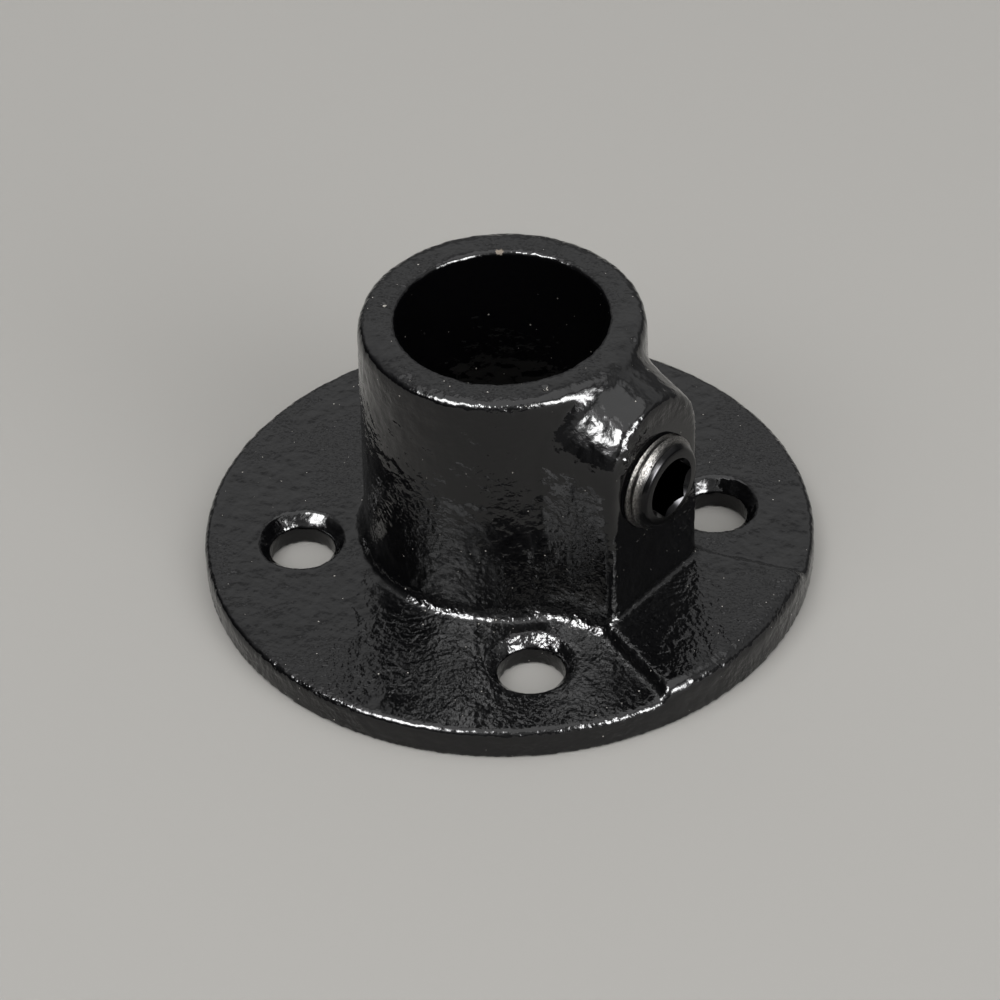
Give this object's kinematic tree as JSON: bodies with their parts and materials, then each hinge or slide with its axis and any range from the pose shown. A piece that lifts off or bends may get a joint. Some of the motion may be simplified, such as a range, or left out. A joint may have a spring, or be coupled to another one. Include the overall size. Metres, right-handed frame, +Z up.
{
  "type": "tube clamp base flange",
  "caption": "Round cast flange with an upright tube socket, a raised set screw boss, countersunk fixing holes and a hexagon socket set screw.",
  "frame": {"origin": "centre of the tube bore at the flange's underside", "axes": "+Z up along the tube bore, +X out along the set screw, fixing holes at 45 degrees to X and Y"},
  "size_m": [0.0824, 0.0824, 0.0392],
  "materials": {
    "gloss_black_finish": "gloss black paint over a cast iron skin",
    "bare_steel": "bare turned steel"
  },
  "bodies": {
    "casting": {"flange_casting": "gloss_black_finish"},
    "screw": {"set_screw": "bare_steel"}
  },
  "joints": [
    {"name": "set_screw_travel", "type": "slide", "parent": "casting", "child": "screw", "axis": [1, 0, 0], "range_m": [-0.00267, 0.00535]}
  ]
}
